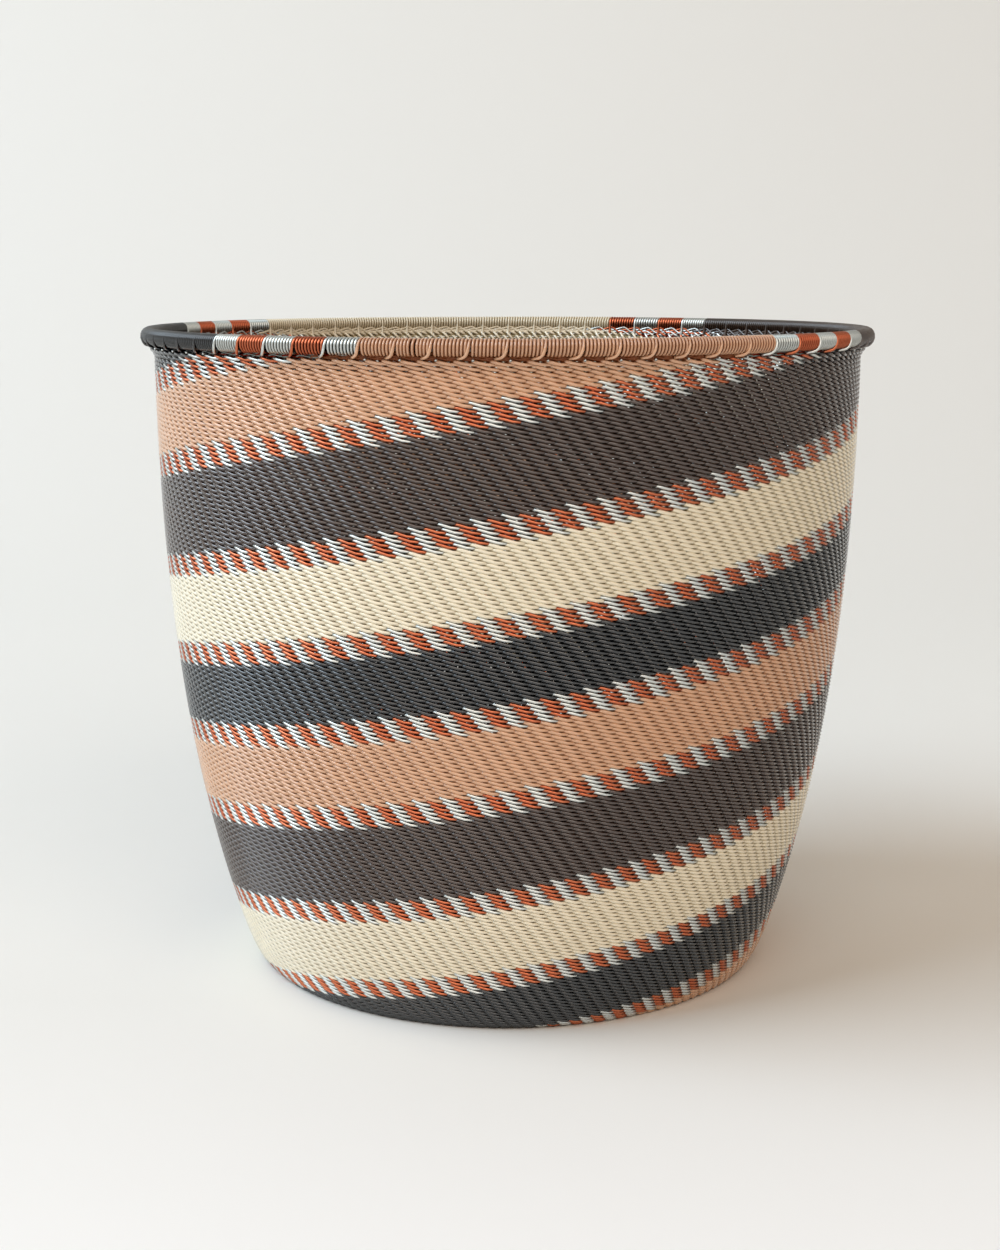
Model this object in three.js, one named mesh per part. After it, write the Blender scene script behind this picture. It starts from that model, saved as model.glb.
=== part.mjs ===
// Woven wire planter basket: a round bucket of coloured, plastic-coated wire, woven in four spiral bands
// with thin silver and copper wires between them, and closed by a wire hoop wrapped in the same wires.
// Millimetres, +Z up, origin at the middle of the underside, -Y is the front.

import * as THREE from 'three';

// The basket's own sizes
const RIM_DIAMETER = 226; // outside of the wrapped rim
const HEIGHT = 200; // from the floor to the top of the rim
const BASE_DIAMETER = 159; // flat part of the underside
const FOOT_OVERHANG = 7.8; // how far the rounded foot swings out past the flat base
const FOOT_HEIGHT = 14.9; // where the rounded foot runs into the wall
const FOOT_LEAN = 17.5; // degrees that the wall leans outwards there
const NECK_INSET = 1.7; // the neck lies this far inside the hoop's centre line
const FLARE_HEIGHT = 4.5; // the wall turns out from the neck to the hoop over this height
const WALL = 2.2; // two crossing wires
const FOOT_PULL = 0.211; // share of the wall's rise that still follows the foot's lean
const NECK_PULL = 0.49; // share of the wall's rise that already follows the upright neck

// The wires
const WIRE = 1.0; // coated wire, over its coating
const HOOP_WIRE = 1.8; // hard wire inside the rim
const WIRE_RISE = 0.745; // one woven wire takes this much of the wall's height
const CLEARANCE = 0.3; // between pieces that lie against each other
const LOOP_GAP = 0.6; // between the loops of a wrapping
const LOOP_CROWN = 0.25; // how far a loop's edges lie below its crown

// The spiral bands, counted upwards
const BANDS_START = -80.9; // degrees from the front, where the first band's lower edge leaves the base
const BANDS = [
  { colour: 'cream', wires: 27 },
  { colour: 'brown', wires: 32 },
  { colour: 'tan', wires: 25 },
  { colour: 'charcoal', wires: 24 },
];
const COPPER_WIRES = 4; // between two bands
const SILVER_WIRES = 5;
const BAND_TIP = 0.8; // a band starts and ends where it is this high
const RIB_WIRES = 6; // a rib on the wall stands for about this many woven wires
const RIB_DEPTH = 0.8; // from a rib's crown to the groove beside it

// The rim's wrappings, from left to right: each coloured run is followed by short metal ones
const RIM_START = -20; // degrees from the front, where the first run starts
const RIM_UNITS = 72; // a unit is the stretch that one wire end wraps
const RIM_RUNS = [
  { colour: 'tan', units: 12, metal: 5 },
  { colour: 'brown', units: 15, metal: 4 },
  { colour: 'cream', units: 14, metal: 5 },
  { colour: 'charcoal', units: 12, metal: 5 },
];
const LOOPS_PER_UNIT = 1.2; // a loop stands for about eight turns of the real wire
const METAL_LOOPS = 2;

// Facets
const SLICES = 28; // steps of the bands and the base in one turn of the basket
const BAND_ROWS = 3; // facets over the height of a coloured band's inside
const METAL_ROWS = 1;
const LOOP_STEPS = 8; // steps of a loop round the hoop
const HOOP_STEPS = 72;
const HOOP_SIDES = 6;
const CURVE_STEPS = 60;

// Places that follow from the sizes
const LOOP_INSIDE = (HOOP_WIRE / 2 + CLEARANCE) / Math.cos(Math.PI / LOOP_STEPS);
const LOOP_OUTSIDE = LOOP_INSIDE + WIRE;
const HOOP_RADIUS = RIM_DIAMETER / 2 - LOOP_OUTSIDE;
const HOOP_HEIGHT = HEIGHT - LOOP_OUTSIDE;
const WALL_TOP = HEIGHT - 2 * LOOP_OUTSIDE - CLEARANCE;
const BASE_RADIUS = BASE_DIAMETER / 2;
const METAL_WIRES = COPPER_WIRES + SILVER_WIRES;
const ALL_WIRES = BANDS.reduce((sum, band) => sum + band.wires + METAL_WIRES, 0);
const TURN_RISE = ALL_WIRES * WIRE_RISE; // a band climbs this much in one turn

// Finishes
const coated = (colour) => new THREE.MeshStandardMaterial({ color: colour, roughness: 0.4, metalness: 0 });
const bare = (colour) => new THREE.MeshStandardMaterial({ color: colour, roughness: 0.3, metalness: 1 });
const MATERIALS = {
  tan: coated(0xc39a74),
  brown: coated(0x584c46),
  cream: coated(0xe2d9bf),
  charcoal: coated(0x343a3f),
  silver: bare(0xc4c7c6),
  copper: bare(0xb5603a),
  steel: bare(0x8d9092),
};

const basket = new THREE.Group();

function addPiece(name, geometry, finish) {
  const piece = new THREE.Mesh(geometry, MATERIALS[finish]);
  piece.name = name;
  basket.add(piece);
}

// A point at an azimuth from the front, counted to the right
function around(radius, azimuth, height) {
  return new THREE.Vector3(radius * Math.sin(azimuth), -radius * Math.cos(azimuth), height);
}

// A closed solid through rings of points, all with the same count, capped at both ends like the flat outline.
// The side that closes the ring is split the other way, so that it lies flat along a neighbour's far side.
function loft(rings, outline) {
  const count = rings[0].length;
  const points = rings.flat();
  const index = [];
  for (let ring = 0; ring + 1 < rings.length; ring += 1) {
    for (let i = 0; i < count; i += 1) {
      const a = ring * count + i;
      const b = ring * count + ((i + 1) % count);
      if (i + 1 < count) index.push(a, b, b + count, a, b + count, a + count);
      else index.push(a, b, a + count, b, b + count, a + count);
    }
  }
  const last = (rings.length - 1) * count;
  for (const corners of THREE.ShapeUtils.triangulateShape(outline, [])) {
    const [i, j, k] = corners.sort((a, b) => a - b);
    index.push(i, k, j);
    index.push(last + i, last + j, last + k);
  }
  const geometry = new THREE.BufferGeometry().setFromPoints(points);
  geometry.setIndex(index);
  geometry.computeVertexNormals();
  return geometry;
}

// The wall's outer line, from the flat base over the foot and up to the hoop, as radius and height
function wallLine() {
  const lean = Math.tan(THREE.MathUtils.degToRad(FOOT_LEAN));
  const base = new THREE.Vector2(BASE_RADIUS, 0);
  const foot = new THREE.Vector2(BASE_RADIUS + FOOT_OVERHANG, FOOT_HEIGHT);
  const neck = new THREE.Vector2(HOOP_RADIUS - NECK_INSET, WALL_TOP - FLARE_HEIGHT);
  const top = new THREE.Vector2(HOOP_RADIUS, WALL_TOP);
  const corner = new THREE.Vector2(foot.x - lean * foot.y, 0);
  const rise = neck.y - foot.y;
  const leaving = new THREE.Vector2(foot.x + lean * FOOT_PULL * rise, foot.y + FOOT_PULL * rise);
  const arriving = new THREE.Vector2(neck.x, neck.y - NECK_PULL * rise);
  const middle = (neck.y + top.y) / 2;
  const swingOut = new THREE.Vector2(neck.x, middle);
  const swingUp = new THREE.Vector2(top.x, middle);
  const line = new THREE.CurvePath();
  line.add(new THREE.QuadraticBezierCurve(base, corner, foot));
  line.add(new THREE.CubicBezierCurve(foot, leaving, arriving, neck));
  line.add(new THREE.CubicBezierCurve(neck, swingOut, swingUp, top));
  return line;
}

const WALL_LINE = wallLine();
WALL_LINE.arcLengthDivisions = CURVE_STEPS;
const WALL_LENGTH = WALL_LINE.getLength();

// A point of the wall at a distance along its line and at a depth under its outside
function wallPoint(distance, azimuth, depth) {
  const share = THREE.MathUtils.clamp(distance / WALL_LENGTH, 0, 1);
  const at = WALL_LINE.getPoint(share);
  const along = WALL_LINE.getTangent(share);
  return around(at.x - depth * along.y, azimuth, at.y + depth * along.x);
}

// A band's section: shares of its height, with a depth under the wall's outside at each
function bandSection(rows, ribs) {
  const section = [];
  for (let row = 0; row <= rows; row += 1) section.push(new THREE.Vector2(row / rows, WALL));
  for (let edge = 2 * ribs; edge >= 0; edge -= 1) {
    section.push(new THREE.Vector2(edge / (2 * ribs), edge % 2 === 0 ? RIB_DEPTH : 0));
  }
  return section;
}

// One woven band: a ribbed strip as thick as the wall that climbs round it, between two heights at the front
function bandGeometry(low, high, rows, ribs) {
  const start = (BAND_TIP - high) / TURN_RISE;
  const end = (WALL_LENGTH - BAND_TIP - low) / TURN_RISE;
  const turns = [start];
  for (let slice = Math.floor(start * SLICES) + 1; slice < end * SLICES; slice += 1) {
    turns.push(slice / SLICES);
  }
  turns.push(end);
  const section = bandSection(rows, ribs);
  const rings = turns.map((turn) => {
    const lower = Math.max(low + TURN_RISE * turn, 0);
    const upper = Math.min(high + TURN_RISE * turn, WALL_LENGTH);
    const squeeze = (upper - lower) / (high - low);
    return section.map((corner) => {
      const depth = corner.y < WALL ? corner.y * squeeze : WALL;
      return wallPoint(lower + (upper - lower) * corner.x, turn * 2 * Math.PI, depth);
    });
  });
  return loft(rings, section);
}

// The four coloured bands, each with its copper and silver neighbours above it
function addWall() {
  let height = (-BANDS_START / 360) * TURN_RISE; // at the front
  const addBand = (name, wires, rows, finish) => {
    const low = height + CLEARANCE / 2;
    height += wires * WIRE_RISE;
    const ribs = Math.max(Math.round(wires / RIB_WIRES), 1);
    addPiece(name, bandGeometry(low, height - CLEARANCE / 2, rows, ribs), finish);
  };
  BANDS.forEach((band, i) => {
    const next = BANDS[(i + 1) % BANDS.length];
    const seam = `${band.colour}_${next.colour}`;
    addBand(`wall_${band.colour}`, band.wires, BAND_ROWS, band.colour);
    addBand(`copper_wires_${seam}`, COPPER_WIRES, METAL_ROWS, 'copper');
    addBand(`silver_wires_${seam}`, SILVER_WIRES, METAL_ROWS, 'silver');
  });
}

// The flat woven base, inside the ring of bands
function addBase() {
  const radius = BASE_RADIUS - CLEARANCE;
  const outline = [
    new THREE.Vector2(0, 0),
    new THREE.Vector2(radius, 0),
    new THREE.Vector2(radius, WALL),
    new THREE.Vector2(0, WALL),
  ];
  const disc = new THREE.LatheGeometry(outline, SLICES);
  disc.rotateX(Math.PI / 2);
  addPiece('base_weave', disc, 'charcoal');
}

// The hard wire that keeps the rim round
function addHoop() {
  const section = [];
  for (let side = 0; side <= HOOP_SIDES; side += 1) {
    const angle = ((side % HOOP_SIDES) / HOOP_SIDES) * 2 * Math.PI;
    const reach = HOOP_RADIUS + (HOOP_WIRE / 2) * Math.cos(angle);
    section.push(new THREE.Vector2(reach, HOOP_HEIGHT + (HOOP_WIRE / 2) * Math.sin(angle)));
  }
  const ring = new THREE.LatheGeometry(section, HOOP_STEPS);
  ring.rotateX(Math.PI / 2);
  addPiece('rim_hoop', ring, 'steel');
}

// A loop's section: shares of its width, with a reach from the hoop's middle at each
const LOOP_SECTION = [
  new THREE.Vector2(0, LOOP_INSIDE),
  new THREE.Vector2(1, LOOP_INSIDE),
  new THREE.Vector2(1, LOOP_OUTSIDE - LOOP_CROWN),
  new THREE.Vector2(0.5, LOOP_OUTSIDE),
  new THREE.Vector2(0, LOOP_OUTSIDE - LOOP_CROWN),
];

// That section between two places along the hoop
function loopSection(left, right, place) {
  return LOOP_SECTION.map((corner) => place(left + (right - left) * corner.x, corner.y));
}

// One wrapping: a flat helix that leaves the wall's top edge, goes up the inside of the rim, over the hoop and
// round it, and ends under the hoop. Each loop lies square to the hoop at the loop's middle.
function wrapRings(azimuth, length, loops) {
  const pitch = length / loops;
  const width = pitch - LOOP_GAP;
  const first = LOOP_GAP / 2;
  const last = length - LOOP_GAP / 2;
  const inLoop = (loop, radius, height) => (along, reach) => {
    const middle = (loop + 0.5) * pitch;
    const turn = azimuth + middle / HOOP_RADIUS;
    const point = around(HOOP_RADIUS + radius(reach), turn, HOOP_HEIGHT + height(reach));
    return point.addScaledVector(around(1, turn + Math.PI / 2, 0), along - middle);
  };
  const onHoop = (loop, angle) =>
    inLoop(loop, (reach) => reach * Math.cos(angle), (reach) => reach * Math.sin(angle));
  const onWall = inLoop(0, (reach) => -reach, () => WALL_TOP + CLEARANCE - HOOP_HEIGHT);
  const underHoop = (loops - 0.25) * LOOP_STEPS;
  const rings = [loopSection(first, first + WIRE, onWall)];
  rings.push(loopSection(first, first + WIRE, onHoop(0, Math.PI)));
  for (let step = 1; step <= underHoop; step += 1) {
    const middle = (pitch * step) / LOOP_STEPS;
    const angle = Math.PI * (1 - (2 * step) / LOOP_STEPS);
    const left = Math.max(middle - width / 2, first);
    const right = Math.min(middle + width / 2, last);
    rings.push(loopSection(left, right, onHoop(Math.floor(step / LOOP_STEPS), angle)));
  }
  return rings;
}

// The least distance between points of a wrapping that lie more than half a loop apart
function selfGap(rings) {
  let least = Infinity;
  for (let i = 0; i < rings.length; i += 1) {
    for (let j = i + LOOP_STEPS / 2 + 1; j < rings.length; j += 1) {
      for (const a of rings[i]) {
        for (const b of rings[j]) least = Math.min(least, a.distanceTo(b));
      }
    }
  }
  return least;
}

// The coloured wrappings round the rim, with the short silver and copper ones between them
function addRimWraps() {
  const unitLength = (2 * Math.PI * HOOP_RADIUS) / RIM_UNITS;
  const metals = ['silver', 'copper'];
  const made = { silver: 0, copper: 0 };
  let unit = 0;
  let least = Infinity;
  const addWrap = (name, units, loops, finish) => {
    const azimuth = THREE.MathUtils.degToRad(RIM_START + (unit * 360) / RIM_UNITS);
    const rings = wrapRings(azimuth, units * unitLength, loops);
    least = Math.min(least, selfGap(rings));
    addPiece(name, loft(rings, LOOP_SECTION), finish);
    unit += units;
  };
  for (const run of RIM_RUNS) {
    addWrap(`rim_wrap_${run.colour}`, run.units, Math.round(run.units * LOOPS_PER_UNIT), run.colour);
    for (let i = 0; i < run.metal; i += 1) {
      const metal = metals[i % metals.length];
      made[metal] += 1;
      addWrap(`rim_wrap_${metal}_${made[metal]}`, 1, METAL_LOOPS, metal);
    }
  }
  console.log(`least gap in a rim wrapping: ${least.toFixed(2)} mm`);
}

addBase();
addWall();
addHoop();
addRimWraps();

export default basket;
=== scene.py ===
import math

import bpy
import numpy as np
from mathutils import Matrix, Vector


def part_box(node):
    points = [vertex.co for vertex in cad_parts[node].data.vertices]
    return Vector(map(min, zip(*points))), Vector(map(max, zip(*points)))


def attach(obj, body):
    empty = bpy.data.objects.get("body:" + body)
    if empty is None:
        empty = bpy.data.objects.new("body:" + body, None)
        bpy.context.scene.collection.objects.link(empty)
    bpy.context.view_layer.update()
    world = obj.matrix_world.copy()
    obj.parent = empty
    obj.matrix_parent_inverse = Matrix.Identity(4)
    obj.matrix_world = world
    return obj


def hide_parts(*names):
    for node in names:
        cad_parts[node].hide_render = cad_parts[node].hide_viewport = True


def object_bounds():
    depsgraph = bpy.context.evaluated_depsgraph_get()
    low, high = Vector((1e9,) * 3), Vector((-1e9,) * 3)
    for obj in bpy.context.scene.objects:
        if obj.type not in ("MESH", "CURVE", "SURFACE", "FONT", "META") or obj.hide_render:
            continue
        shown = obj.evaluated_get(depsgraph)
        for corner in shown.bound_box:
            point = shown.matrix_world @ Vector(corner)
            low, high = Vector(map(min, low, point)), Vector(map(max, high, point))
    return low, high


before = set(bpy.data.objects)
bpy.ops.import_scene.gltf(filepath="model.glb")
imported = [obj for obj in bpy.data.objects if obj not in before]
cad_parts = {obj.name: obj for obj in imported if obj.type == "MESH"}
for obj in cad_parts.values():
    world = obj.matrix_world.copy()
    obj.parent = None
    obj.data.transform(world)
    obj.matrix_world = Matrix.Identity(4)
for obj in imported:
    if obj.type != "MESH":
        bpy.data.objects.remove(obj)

CAD_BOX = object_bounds()

# Woven wire planter basket. Lengths are in millimetres and angles in degrees, until a mesh is made in
# metres. A place on the basket is an azimuth, counted to the right from the front, a distance along the
# wall's outer line, counted upwards from the edge of the flat base, and a depth, counted outwards from the
# wall's middle.
MM = 0.001

# Sizes from the frame, with the hoop's wire and the clearance between the solids
BASE_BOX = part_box("base_weave")
HOOP_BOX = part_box("rim_hoop")
HOOP_WIRE = 1.8
CLEARANCE = 0.3
WALL = BASE_BOX[1].z / MM
BASE_RADIUS = BASE_BOX[1].x / MM + CLEARANCE
HOOP_RADIUS = HOOP_BOX[1].x / MM - HOOP_WIRE / 2
HOOP_HEIGHT = (HOOP_BOX[0].z + HOOP_BOX[1].z) / 2 / MM
HEIGHT = CAD_BOX[1].z / MM
RIM_SECTION = HEIGHT - HOOP_HEIGHT
WALL_TOP = HEIGHT - 2 * RIM_SECTION - CLEARANCE

# The wall's outer line
FOOT_OVERHANG = 7.8
FOOT_HEIGHT = 14.9
FOOT_LEAN = 17.5
NECK_INSET = 1.7
FLARE_HEIGHT = 4.5
FOOT_PULL = 0.211
NECK_PULL = 0.49
CURVE_STEPS = 80

# The weave: as many columns as wires, in level courses. Every wire climbs one course at each of its
# floats.
WIRES = 144
COLUMN = 360 / WIRES
TURN_RISE = 107.28
COURSE = 1.328
COURSE_TURN = 360 * COURSE / TURN_RISE
SEAM_HEIGHT = 21.1
BANDS = (("cream", 27), ("brown", 32), ("tan", 25), ("charcoal", 24))
METALS = ("silver", "copper")
SEAM_METALS = METALS * 4 + ("silver",)
COATED_RADIUS = 0.53
BARE_RADIUS = 0.45

# One float of a wire, from where it comes out to where it dives behind its neighbours: place along the
# course in columns, height above the course, depth
FLOAT_PATH = (
    (-0.07, 0.05, -0.50),
    (0.03, 0.34, -0.04),
    (0.14, 0.60, 0.44),
    (0.34, 0.40, 0.70),
    (0.80, -0.24, 0.66),
    (1.21, -0.44, 0.44),
    (1.36, -0.38, -0.50),
)

# The highest courses lie deep in the wall, so that a groove runs below the rim, with painted shade on them
GROOVE_HEIGHT = 1.7
GROOVE_DEPTH = -0.25

# The base: the wires run on to the middle, every second one ends at each of these radii, and the floats
# lie flat on the floor
BASE_ZONES = (68, 34, 17)
BASE_CENTRE = 8.5
COIL_PITCH = 1.03
COIL_STEPS = 20
COIL_START = COIL_STEPS // 2
COIL_OVERLAP = 1
BASE_DEPTH = WALL / 2 - COATED_RADIUS

# The rim: each unit is wrapped by one wire, which first crosses the rim's outside as a lashing
RIM_START = -20
RIM_UNITS = 72
RIM_RUNS = (("tan", 12, 5), ("brown", 15, 4), ("cream", 14, 5), ("charcoal", 12, 5))
UNIT_LENGTH = 2 * math.pi * HOOP_RADIUS / RIM_UNITS
UNIT_TURNS = 10
LAST_TURN = UNIT_TURNS - 0.5
WRAP_STEPS = 14
FIRST_STEP = WRAP_STEPS // 6
WRAP_INSET = 0.5
WRAP_RADIUS = RIM_SECTION - WRAP_INSET
WRAP_DROP = 1.22
WRAP_WIRE = {"coated": 0.465, "bare": 0.45}

# Wire ends that run on inside the rim's wrapping, twisted round the hoop
CORE_WIRES = 6
CORE_REACH = 0.85
CORE_TWIST = 9
CORE_STEPS = 540
CORE_RADIUS = 0.5

# A lashing and the tail inside the rim: place along the hoop from the unit's start or end, angle round
# the hoop from its outside, reach from the hoop's middle
LASHING = (
    (-3.2, -106, 2.7),
    (-2.5, -88, 2.4),
    (-1.9, -74, 2.42),
    (-1.3, -61, 2.42),
    (-0.75, -45, 2.32),
    (-0.34, -22, 2.1),
    (-0.08, 5, 1.88),
    (0.04, 38, 1.78),
)
TAIL = (
    (-0.45, 196, 1.85),
    (-0.4, 214, 2.2),
    (-0.35, 228, 2.9),
    (-0.3, 236, 3.8),
    (-0.25, 241, 4.4),
)

# One turn of the front's wrapping stands loose between its neighbours
LOOSE_UNIT = 1
LOOSE_FROM = (0, 4.1, 4.5, 5.2, 5.6, UNIT_LENGTH)
LOOSE_TO = (0, 3.85, 4.5, 5.2, 5.85, UNIT_LENGTH)

# The cut end of each coated unit's wire, which shows its bare core below the rim
CUT_END_ALONG = 0.8
CUT_END_DROP = 1.0
CUT_END_RADIUS = 0.36
CUT_END_DEPTHS = (-0.6, 0.2, 0.8, 1.2)

# Painted shade in the crevices: the wire's colour is darkened fully at the first distance from the wall's
# middle, and not at all at the second. The rim's turns count as this far out, so that shade is painted
# between them. The dark colour is the wire's own, raised to this power and toned down.
HIDDEN_DEPTH = 0.45
OPEN_DEPTH = 0.72
WRAP_LIFT = 0.32
PAINTED_SHADE_POWER = 2.2
PAINTED_SHADE_TONE = 0.55

# Facets: the sides of a wire, and the rings in one row of its map
SIDES = 5
ROW_RINGS = 256

# Finish: the gloss of the wire and its coat, the drift of tone and wear along a wire, and the fine grain
BODY_SPECULAR = 0.2
COAT_ROUGHNESS = 0.09
COAT_IOR = 1.65
WIRE_TONE_SHARE = 0.25
DRIFT_SCALE = 140
DRIFT_DETAIL = 3
DRIFT_ROUGHNESS = 0.6
LESS_WEAR = 0.06
MORE_WEAR = 0.08
GRAIN_SCALE = 1800
GRAIN_DETAIL = 2
GRAIN_STRENGTH = 0.08
GRAIN_DEPTH = 0.0001

# The stage, in metres: a floor that sweeps up behind the basket, with painted light that makes it a little
# lighter in front
FLOOR_SIZE = 4
FLOOR_STRETCH = 2
FLOOR_MIDDLE = (0, -0.4, 0)
BACKDROP_HEIGHT = 3
SWEEP_RADIUS = 1.0
SWEEP_STEPS = 32
BACKDROP_ROUGHNESS = 0.8
BACKDROP_SPECULAR = 0.2
# Painted light and shade on the floor: lighter in front, darker behind, changing between these depths
FRONT_PAINTED_LIGHT_TONE = (240, 239, 236)
BACK_PAINTED_SHADE_TONE = (228, 227, 222)
FRONT_ENDS = -0.22
BACK_STARTS = -0.06

# The light: the room's tone as it is seen and the light that it gives, then each lamp's name, place, width
# and height, in metres, with its watts and colour
ROOM_TONE = (240, 239, 236)
ROOM_LIGHT = (1.0, 0.73, 0.5)
ROOM_STRENGTH = 0.26
LAMPS = (
    ("window", (-2.85, -0.75, 2.95), (3.2, 3.0), 180, (0.68, 0.825, 0.965)),
    ("front_light", (0.4, -2.35, 2.2), (4.0, 2.0), 52, (1.0, 0.87, 0.76)),
)

# The photograph: 1000 by 1250 pixels, seen a little from above
PHOTO_WIDTH = 1000
FOCAL_PIXELS = 1875.3
CAMERA_DISTANCE = 594.5
CAMERA_HEIGHT = 217.5
CAMERA_PITCH = 10.78
AXIS_RIGHT_OF_CENTRE = 7.3
SENSOR_WIDTH = 24
NEAREST = 0.01


def bezier(points):
    """Points along a Bezier curve with these control points."""
    share = np.linspace(0, 1, CURVE_STEPS)[:, None]
    layer = [np.array(point, float) for point in points]
    while len(layer) > 1:
        layer = [a + (b - a) * share for a, b in zip(layer, layer[1:])]
    return layer[0]


def wall_line():
    """The wall's line from the middle of the base to the rim: distance, place of its middle, normal."""
    lean = math.tan(math.radians(FOOT_LEAN))
    base = (BASE_RADIUS, 0)
    foot = (BASE_RADIUS + FOOT_OVERHANG, FOOT_HEIGHT)
    neck = (HOOP_RADIUS - NECK_INSET, WALL_TOP - FLARE_HEIGHT)
    top = (HOOP_RADIUS, WALL_TOP)
    rise = neck[1] - foot[1]
    middle = WALL_TOP - FLARE_HEIGHT / 2
    leaving = (foot[0] + lean * FOOT_PULL * rise, foot[1] + FOOT_PULL * rise)
    arriving = (neck[0], neck[1] - NECK_PULL * rise)
    flat = bezier(((0, 0), base))
    heel = bezier((base, (foot[0] - lean * foot[1], 0), foot))
    side = bezier((foot, leaving, arriving, neck))
    flare = bezier((neck, (neck[0], middle), (top[0], middle), top))
    points = np.vstack((flat[:-1], heel[:-1], side[:-1], flare, (top[0], WALL_TOP + RIM_SECTION)))
    distance = np.append(0, np.cumsum(np.linalg.norm(np.diff(points, axis=0), axis=1))) - BASE_RADIUS
    along = np.gradient(points, distance, axis=0)
    along /= np.linalg.norm(along, axis=1, keepdims=True)
    normal = np.stack((along[:, 1], -along[:, 0]), axis=1)
    return distance, points - normal * WALL / 2, normal


LINE_DISTANCE, LINE_MIDDLE, LINE_NORMAL = wall_line()
WALL_LENGTH = LINE_DISTANCE[-2]


def around(azimuth, radius, height):
    """A point, or an array of points, at an azimuth from the front."""
    turn = np.radians(azimuth)
    return np.stack((radius * np.sin(turn), -radius * np.cos(turn), height + 0 * turn), axis=-1)


def on_wall(azimuth, distance, depth):
    """Points in or on the wall, and the wall's normal at each."""
    radius, height = (np.interp(distance, LINE_DISTANCE, LINE_MIDDLE[:, i]) for i in (0, 1))
    outward, upward = (np.interp(distance, LINE_DISTANCE, LINE_NORMAL[:, i]) for i in (0, 1))
    points = around(azimuth, radius + outward * depth, height + upward * depth)
    return points, around(azimuth, outward, upward)


def wire_colours():
    """The wires of each colour, by their place among all the wires, counted upwards at the front."""
    wires = {}
    place = 1 + len(SEAM_METALS) // 2
    for colour, count in BANDS:
        wires.setdefault(colour, []).extend(range(place, place + count))
        place += count
        for metal in SEAM_METALS:
            wires.setdefault(metal, []).append(place % WIRES)
            place += 1
    return wires


def courses():
    """Each course's height along the wall, how far the weave has turned there, and its base zone."""
    lowest = math.ceil((BASE_CENTRE - BASE_RADIUS - SEAM_HEIGHT) / COURSE)
    highest = math.ceil((WALL_LENGTH - SEAM_HEIGHT) / COURSE)
    number = np.arange(lowest, highest + 1)
    height = SEAM_HEIGHT + number * COURSE
    zone = sum((height < radius - BASE_RADIUS).astype(int) for radius in BASE_ZONES)
    turn = np.cumsum(COURSE_TURN * 2.0 ** zone)
    return height, turn - turn[number == 0], zone


COURSE_HEIGHT, COURSE_PLACE, COURSE_ZONE = courses()


def innermost_zone(wire):
    """How far towards the middle of the base a wire runs."""
    return sum(wire % 2 ** step == 0 for step in range(1, len(BASE_ZONES) + 1))


def woven_path(wire, chosen):
    """A wire's centre line through the chosen courses, with the wall's normals."""
    chosen = chosen & (COURSE_ZONE <= innermost_zone(wire))
    path = np.array(FLOAT_PATH)
    stretch = COLUMN * 2.0 ** COURSE_ZONE[chosen]
    azimuth = COURSE_PLACE[chosen, None] - COLUMN * wire + path[:, 0] * stretch[:, None]
    distance = COURSE_HEIGHT[chosen, None] + path[:, 1]
    in_groove = COURSE_HEIGHT[chosen, None] > WALL_LENGTH - GROOVE_HEIGHT
    on_base = COURSE_HEIGHT[chosen, None] < 0
    depth = np.where(in_groove, GROOVE_DEPTH, path[:, 2])
    depth = np.where(on_base, np.minimum(depth, BASE_DEPTH), depth).ravel()
    points, outward = on_wall(azimuth.ravel(), distance.ravel(), depth)
    return points, outward, depth


def unit_azimuth(unit, along):
    """The azimuth of a place along the hoop, counted from the start of a unit of the rim."""
    return RIM_START + unit * 360 / RIM_UNITS + np.degrees(along / HOOP_RADIUS)


def wrap_path(unit):
    """The wire of one unit of the rim: a lashing up its outside, turns round the hoop, a tail inside."""
    lashing, tail = np.array(LASHING), np.array(TAIL)
    turns = np.arange(FIRST_STEP, LAST_TURN * WRAP_STEPS) / WRAP_STEPS
    wound = turns * UNIT_LENGTH / UNIT_TURNS
    if unit == LOOSE_UNIT:
        wound = np.interp(wound, LOOSE_FROM, LOOSE_TO)
    along = np.concatenate((lashing[:, 0], wound, UNIT_LENGTH + tail[:, 0]))
    angle = np.radians(np.concatenate((lashing[:, 1], turns * 360, tail[:, 1])))
    reach = np.concatenate((lashing[:, 2], np.full(len(turns), WRAP_RADIUS), tail[:, 2]))
    rise = np.sin(angle) * np.where(np.sin(angle) < 0, WRAP_DROP, 1)
    azimuth = unit_azimuth(unit, along)
    points = around(azimuth, HOOP_RADIUS + reach * np.cos(angle), HOOP_HEIGHT + reach * rise)
    return points, around(azimuth, np.cos(angle), np.sin(angle)), reach - WRAP_RADIUS + WRAP_LIFT


def core_path(wire):
    """One of the wire ends that run on inside the rim's wrapping, twisted round the hoop."""
    share = np.linspace(0, 1, CORE_STEPS)
    angle = 2 * math.pi * (CORE_TWIST * share + wire / CORE_WIRES)
    outward = around(360 * share, np.cos(angle), np.sin(angle))
    points = around(360 * share, HOOP_RADIUS, HOOP_HEIGHT) + CORE_REACH * outward
    return points, outward, np.full(CORE_STEPS, OPEN_DEPTH)


def cut_end_path(unit):
    """The short cut end of a unit's wire, which comes out through the weave below the rim."""
    depth = np.array(CUT_END_DEPTHS)
    azimuth = np.full(len(depth), unit_azimuth(unit, CUT_END_ALONG))
    points, _ = on_wall(azimuth, np.full(len(depth), WALL_LENGTH - CUT_END_DROP), depth)
    return points, np.tile((0.0, 0.0, 1.0), (len(depth), 1)), np.full(len(depth), OPEN_DEPTH)


def coil_path(depth):
    """A flat coil in the middle of the base."""
    count = int((BASE_CENTRE + COIL_OVERLAP) / COIL_PITCH * COIL_STEPS)
    turns = np.arange(COIL_START, count) / COIL_STEPS
    distance = turns * COIL_PITCH - BASE_RADIUS
    points, outward = on_wall(turns * 360, distance, np.full(len(turns), depth))
    return points, outward, np.full(len(turns), depth)


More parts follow.
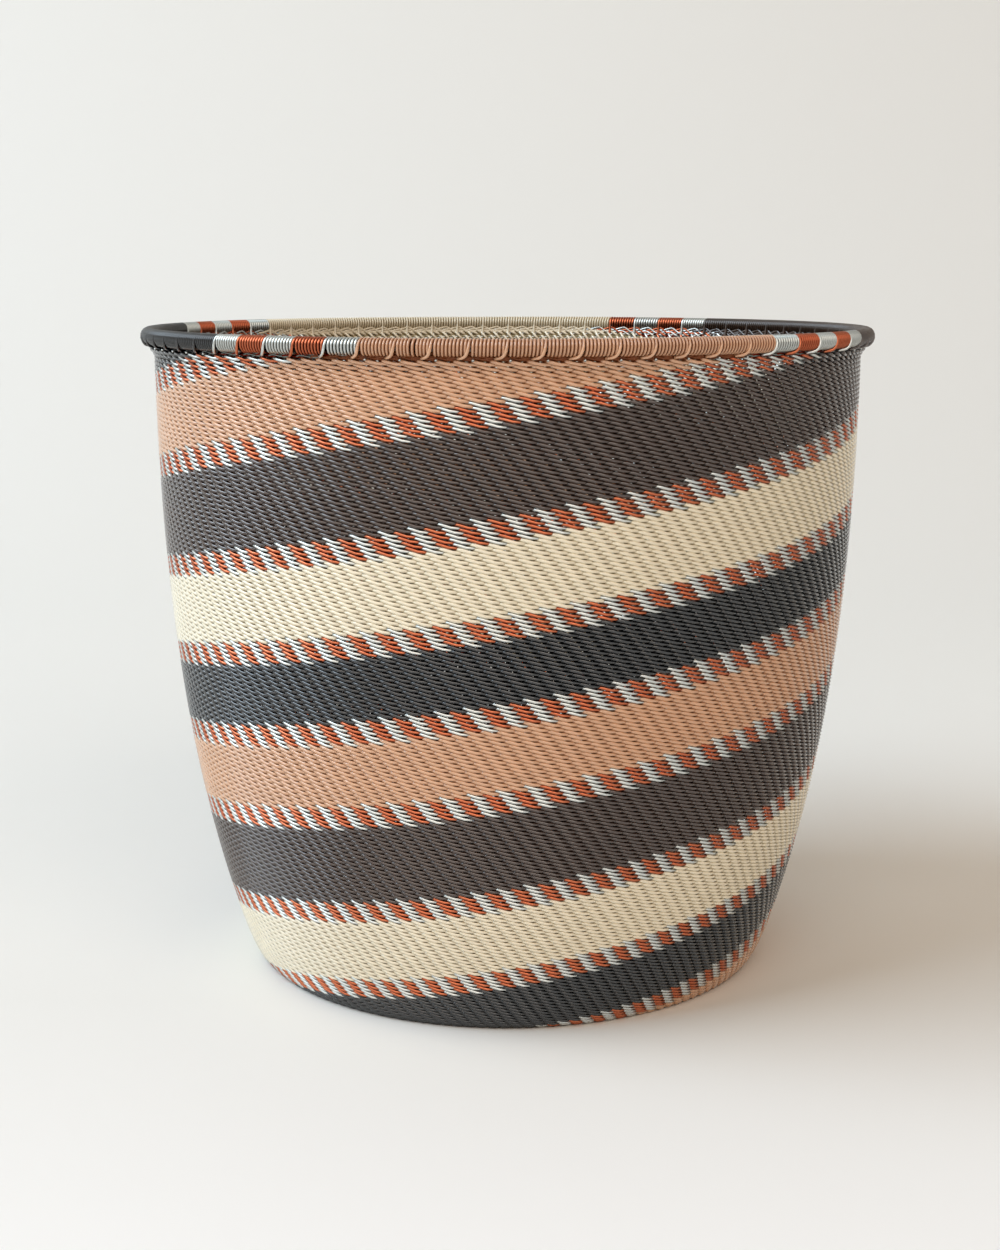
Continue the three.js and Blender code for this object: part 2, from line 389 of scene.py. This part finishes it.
def tube_rings(points, outward, radius):
    """Rings of points round each point of a centre line, as offsets, turned by the surface's normals."""
    along = np.gradient(points, axis=0)
    along /= np.linalg.norm(along, axis=1, keepdims=True)
    side = np.cross(along, outward)
    side /= np.linalg.norm(side, axis=1, keepdims=True)
    up = np.cross(side, along)
    angle = np.arange(SIDES)[:, None] * 2 * math.pi / SIDES
    return radius * (np.cos(angle) * up[:, None] + np.sin(angle) * side[:, None])


def map_rows(points):
    """The rows that a wire takes up in the map of its piece."""
    return math.ceil((len(points) - 1) / ROW_RINGS)


def map_corners(quads, row, rows):
    """A wire's place in the map: its rings run to the right, row above row, and each end is a dot."""
    ring, side = np.indices(quads.shape[:2])
    left = (ring % ROW_RINGS) / ROW_RINGS
    low = (row + ring // ROW_RINGS + side / SIDES) / rows
    right = left + 1 / ROW_RINGS
    high = low + 1 / SIDES / rows
    tube = np.stack((left, low, left, high, right, high, right, low), axis=-1)
    ends = np.tile((0.5 / ROW_RINGS, (row + 0.5) / rows), SIDES * 2)
    return np.append(tube, ends)


def add_wires(name, paths, radius, material):
    """One piece of several closed wires: a tone for each wire, how open each place lies for the painted
    shade, and a map.
    """
    random = np.random.default_rng(len(name) + len(paths))
    vertices, faces, corners, tones, openness = [], [], [], [], []
    rows = sum(map_rows(points) for points, *_ in paths)
    row = 0
    count = 0
    for points, outward, depth in paths:
        rings = tube_rings(points, outward, radius)
        away = np.abs(depth[:, None] + np.einsum("ijk,ik->ij", rings, outward))
        grid = count + np.arange(len(points) * SIDES).reshape(-1, SIDES)
        after = np.roll(grid, -1, axis=1)
        quads = np.stack((grid[:-1], after[:-1], after[1:], grid[1:]), axis=-1)
        vertices.append((points[:, None] + rings).reshape(-1, 3) * MM)
        faces.extend(quads.reshape(-1, 4).tolist())
        faces.append(grid[0, ::-1].tolist())
        faces.append(grid[-1].tolist())
        corners.append(map_corners(quads, row, rows))
        tones.append(np.full(grid.size, random.uniform(-1, 1)))
        # How open each place lies, which sets the painted shade in the crevices
        openness.append(np.interp(away, (HIDDEN_DEPTH, OPEN_DEPTH), (0, 1)).ravel())
        row += map_rows(points)
        count += grid.size
    mesh = bpy.data.meshes.new(name)
    mesh.from_pydata(np.vstack(vertices).tolist(), [], faces)
    mesh.uv_layers.new(name="OFBake").data.foreach_set("uv", np.concatenate(corners))
    for attribute, values in (("wire_tone", tones), ("openness", openness)):
        data = mesh.attributes.new(attribute, "FLOAT", "POINT").data
        data.foreach_set("value", np.concatenate(values))
    mesh.shade_smooth()
    mesh.materials.append(material)
    piece = bpy.data.objects.new(name, mesh)
    bpy.context.scene.collection.objects.link(piece)
    return piece


def socket_default(node, **values):
    """Sets a node's inputs by name, with spaces for underscores."""
    for name, value in values.items():
        node.inputs[name.replace("_", " ")].default_value = value


def linear(red, green, blue):
    """A screen colour from 0 to 255 as linear light."""
    return [((c / 255 + 0.055) / 1.055) ** 2.4 for c in (red, green, blue)]


def colour_mix(nodes):
    """A new node that mixes two colours: its factor, the two colours and the result."""
    mix = nodes.new("ShaderNodeMix")
    mix.data_type = "RGBA"
    return mix.inputs[0], mix.inputs[6], mix.inputs[7], mix.outputs[2]


def wire_material(name, screen_colour, spread, roughness, metallic=0, coated=False):
    """A wire's finish: its colour wanders a little from wire to wire and along each wire, with painted
    shade in crevices.
    """
    colour = linear(*screen_colour)
    material = bpy.data.materials.new(name)
    material.use_nodes = True
    nodes, links = material.node_tree.nodes, material.node_tree.links
    shader = nodes["Principled BSDF"]
    socket_default(shader, Metallic=metallic, Specular_IOR_Level=BODY_SPECULAR)
    socket_default(shader, Coat_Roughness=COAT_ROUGHNESS, Coat_IOR=COAT_IOR)
    place = nodes.new("ShaderNodeTexCoord")

    # Each wire's own tone, and a drift of tone along it
    tone = nodes.new("ShaderNodeAttribute")
    tone.attribute_name = "wire_tone"
    drift = nodes.new("ShaderNodeTexNoise")
    socket_default(drift, Scale=DRIFT_SCALE, Detail=DRIFT_DETAIL, Roughness=DRIFT_ROUGHNESS)
    links.new(place.outputs["Object"], drift.inputs["Vector"])
    share = nodes.new("ShaderNodeMath")
    share.operation = "MULTIPLY_ADD"
    share.inputs[1].default_value = WIRE_TONE_SHARE
    links.new(tone.outputs["Fac"], share.inputs[0])
    links.new(drift.outputs["Fac"], share.inputs[2])
    factor, dark, light, drifted = colour_mix(nodes)
    dark.default_value = (*[channel * (1 - spread) for channel in colour], 1)
    light.default_value = (*[min(channel * (1 + spread), 1) for channel in colour], 1)
    links.new(share.outputs[0], factor)

    # Painted shade: the colour is darker in the crevices, where the coat doesn't shine
    openness = nodes.new("ShaderNodeAttribute")
    openness.attribute_name = "openness"
    factor, hidden, shown, shaded = colour_mix(nodes)
    hidden.default_value = (*[PAINTED_SHADE_TONE * channel ** PAINTED_SHADE_POWER for channel in colour], 1)
    links.new(openness.outputs["Fac"], factor)
    links.new(drifted, shown)
    links.new(shaded, shader.inputs["Base Color"])
    if coated:
        links.new(openness.outputs["Fac"], shader.inputs["Coat Weight"])

    # Uneven gloss, and a fine grain
    wear = nodes.new("ShaderNodeMapRange")
    socket_default(wear, To_Min=roughness - LESS_WEAR, To_Max=roughness + MORE_WEAR)
    links.new(drift.outputs["Fac"], wear.inputs["Value"])
    links.new(wear.outputs["Result"], shader.inputs["Roughness"])
    grain = nodes.new("ShaderNodeTexNoise")
    socket_default(grain, Scale=GRAIN_SCALE, Detail=GRAIN_DETAIL)
    links.new(place.outputs["Object"], grain.inputs["Vector"])
    bump = nodes.new("ShaderNodeBump")
    socket_default(bump, Strength=GRAIN_STRENGTH, Distance=GRAIN_DEPTH)
    links.new(grain.outputs["Fac"], bump.inputs["Height"])
    links.new(bump.outputs["Normal"], shader.inputs["Normal"])
    return material


MATERIALS = {
    "tan": wire_material("tan_coated_wire", (208, 162, 126), spread=0.08, roughness=0.32, coated=True),
    "brown": wire_material("brown_coated_wire", (59, 42, 32), spread=0.1, roughness=0.3, coated=True),
    "cream": wire_material("cream_coated_wire", (233, 223, 198), spread=0.05, roughness=0.32, coated=True),
    "charcoal": wire_material("charcoal_coated_wire", (5, 8, 11), spread=0.1, roughness=0.3, coated=True),
    "silver": wire_material("bare_silver_wire", (204, 206, 202), spread=0.04, roughness=0.34, metallic=1),
    "copper": wire_material("bare_copper_wire", (190, 109, 77), spread=0.08, roughness=0.3, metallic=1),
    "steel": wire_material("hoop_wire_steel", (150, 152, 154), spread=0.06, roughness=0.4, metallic=1),
}
RADII = {colour: BARE_RADIUS if colour in METALS else COATED_RADIUS for colour in MATERIALS}


def place_piece(piece, nodes):
    """Ties a piece to the basket's body, and hides the solids that it stands for."""
    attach(piece, "root")
    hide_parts(*nodes)


def wall_nodes(colour):
    """The solids of a colour's wall bands, or of a metal's wires between the bands."""
    if colour in METALS:
        return [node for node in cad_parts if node.startswith(f"{colour}_wires_")]
    return [f"wall_{colour}"]


def weave_wall_and_base():
    """The woven wires of each colour, in two pieces on the wall and one on the base, and a coil."""
    on_base = COURSE_HEIGHT < 0
    for colour, wires in wire_colours().items():
        halves = np.array_split(np.array(wires), 2)
        for half, chosen in zip(("lower", "upper"), halves):
            paths = [woven_path(wire, ~on_base) for wire in chosen]
            piece = add_wires(f"{colour}_wires_{half}", paths, RADII[colour], MATERIALS[colour])
            place_piece(piece, wall_nodes(colour))
        paths = [woven_path(wire, on_base) for wire in wires]
        piece = add_wires(f"{colour}_base_wires", paths, RADII[colour], MATERIALS[colour])
        place_piece(piece, ["base_weave"])
    paths = [coil_path(side * COATED_RADIUS) for side in (-1, 1)]
    piece = add_wires("base_middle_coil", paths, COATED_RADIUS, MATERIALS["tan"])
    place_piece(piece, ["base_weave"])


def wrap_rim():
    """The wires that wrap the hoop, one piece for each colour, their cut ends, and the wires inside."""
    units = []
    for colour, count, metals in RIM_RUNS:
        units += [colour] * count
        units += [SEAM_METALS[i] for i in range(metals)]
    for colour in dict.fromkeys(units):
        paths = [wrap_path(unit) for unit, wrapped in enumerate(units) if wrapped == colour]
        radius = WRAP_WIRE["bare" if colour in METALS else "coated"]
        piece = add_wires(f"{colour}_rim_wraps", paths, radius, MATERIALS[colour])
        nodes = [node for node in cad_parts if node.startswith(f"rim_wrap_{colour}")]
        place_piece(piece, nodes)
    ends = [cut_end_path(unit) for unit, wrapped in enumerate(units) if wrapped not in METALS]
    piece = add_wires("cut_wire_ends", ends, CUT_END_RADIUS, MATERIALS["silver"])
    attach(piece, "root")
    core = [core_path(wire) for wire in range(CORE_WIRES)]
    piece = add_wires("rim_core_wires", core, CORE_RADIUS, MATERIALS["charcoal"])
    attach(piece, "root")


def finish_hoop():
    """The hoop keeps its solid, and gets its drawn steel finish."""
    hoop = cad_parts["rim_hoop"]
    hoop.data.materials.clear()
    hoop.data.materials.append(MATERIALS["steel"])


def add_backdrop():
    """A pale floor that sweeps up into a wall behind the basket."""
    bpy.ops.object.select_all(action="DESELECT")
    bpy.ops.mesh.primitive_plane_add(size=FLOOR_SIZE, location=FLOOR_MIDDLE)
    floor = bpy.context.object
    floor.name = "backdrop"
    floor.scale.x = FLOOR_STRETCH
    bpy.ops.object.transform_apply(location=True, scale=True)

    # The back edge goes up, and the corner below it is rounded
    bpy.ops.object.mode_set(mode="EDIT")
    bpy.ops.mesh.select_all(action="DESELECT")
    bpy.ops.object.mode_set(mode="OBJECT")
    for edge in floor.data.edges:
        edge.select = all(floor.data.vertices[i].co.y > 0 for i in edge.vertices)
    bpy.ops.object.mode_set(mode="EDIT")
    bpy.ops.mesh.select_mode(type="EDGE")
    bpy.ops.mesh.extrude_region_move(TRANSFORM_OT_translate={"value": (0, 0, BACKDROP_HEIGHT)})
    bpy.ops.object.mode_set(mode="OBJECT")
    for edge in floor.data.edges:
        ends = [floor.data.vertices[i].co for i in edge.vertices]
        edge.select = all(end.y > 0 and end.z < SWEEP_RADIUS for end in ends)
    bpy.ops.object.mode_set(mode="EDIT")
    bpy.ops.mesh.bevel(offset=SWEEP_RADIUS, segments=SWEEP_STEPS, affect="EDGES")
    bpy.ops.object.mode_set(mode="OBJECT")
    floor.data.shade_smooth()

    # A matt finish with painted light: its tone is lighter in front and darker towards the back
    material = bpy.data.materials.new("pale_backdrop")
    material.use_nodes = True
    nodes, links = material.node_tree.nodes, material.node_tree.links
    shader = nodes["Principled BSDF"]
    socket_default(shader, Roughness=BACKDROP_ROUGHNESS, Specular_IOR_Level=BACKDROP_SPECULAR)
    place = nodes.new("ShaderNodeTexCoord")
    axes = nodes.new("ShaderNodeSeparateXYZ")
    links.new(place.outputs["Object"], axes.inputs[0])
    depth = nodes.new("ShaderNodeMapRange")
    socket_default(depth, From_Min=FRONT_ENDS, From_Max=BACK_STARTS)
    links.new(axes.outputs["Y"], depth.inputs["Value"])
    factor, front, back, tone = colour_mix(nodes)
    front.default_value = (*linear(*FRONT_PAINTED_LIGHT_TONE), 1)
    back.default_value = (*linear(*BACK_PAINTED_SHADE_TONE), 1)
    links.new(depth.outputs["Result"], factor)
    links.new(tone, shader.inputs["Base Color"])
    floor.data.materials.append(material)


def add_lamp(name, place, aim, sides, watts, colour):
    """A soft lamp at a place, aimed at a point, in metres, with its width and height."""
    lamp = bpy.data.lights.new(name, "AREA")
    lamp.shape = "RECTANGLE"
    lamp.size, lamp.size_y = sides
    lamp.energy = watts
    lamp.color = colour
    holder = bpy.data.objects.new(name, lamp)
    bpy.context.scene.collection.objects.link(holder)
    holder.location = place
    holder.rotation_euler = (Vector(aim) - Vector(place)).to_track_quat("-Z", "Y").to_euler()


def add_lights():
    """A cool window light from the left, a warm front light, and a room that is warm but looks pale."""
    world = bpy.data.worlds.new("room")
    bpy.context.scene.world = world
    world.use_nodes = True
    nodes, links = world.node_tree.nodes, world.node_tree.links
    warm = nodes["Background"]
    socket_default(warm, Color=(*ROOM_LIGHT, 1), Strength=ROOM_STRENGTH)
    pale = nodes.new("ShaderNodeBackground")
    socket_default(pale, Color=(*linear(*ROOM_TONE), 1), Strength=1)
    rays = nodes.new("ShaderNodeLightPath")
    seen = rays.outputs["Is Camera Ray"]
    for kind in ("Is Glossy Ray", "Is Transmission Ray"):
        either = nodes.new("ShaderNodeMath")
        either.operation = "MAXIMUM"
        links.new(seen, either.inputs[0])
        links.new(rays.outputs[kind], either.inputs[1])
        seen = either.outputs[0]
    blend = nodes.new("ShaderNodeMixShader")
    links.new(seen, blend.inputs[0])
    links.new(warm.outputs[0], blend.inputs[1])
    links.new(pale.outputs[0], blend.inputs[2])
    links.new(blend.outputs[0], nodes["World Output"].inputs["Surface"])
    middle = (0, 0, HEIGHT * MM / 2)
    for name, place, sides, watts, colour in LAMPS:
        add_lamp(name, place, middle, sides, watts, colour)


def add_camera():
    """The photograph's camera: in front, looking a little down and a little to the left of the axis."""
    camera = bpy.data.cameras.new("camera")
    camera.sensor_fit = "HORIZONTAL"
    camera.sensor_width = SENSOR_WIDTH
    camera.lens = FOCAL_PIXELS * SENSOR_WIDTH / PHOTO_WIDTH
    camera.clip_start = NEAREST
    view = bpy.data.objects.new("camera", camera)
    bpy.context.scene.collection.objects.link(view)
    view.location = (0, -CAMERA_DISTANCE * MM, CAMERA_HEIGHT * MM)
    left = math.atan(AXIS_RIGHT_OF_CENTRE / FOCAL_PIXELS)
    view.rotation_euler = (math.radians(90 - CAMERA_PITCH), 0, left)
    bpy.context.scene.camera = view


weave_wall_and_base()
wrap_rim()
finish_hoop()
add_backdrop()
add_lights()
add_camera()
bpy.context.scene.view_settings.view_transform = "Standard"
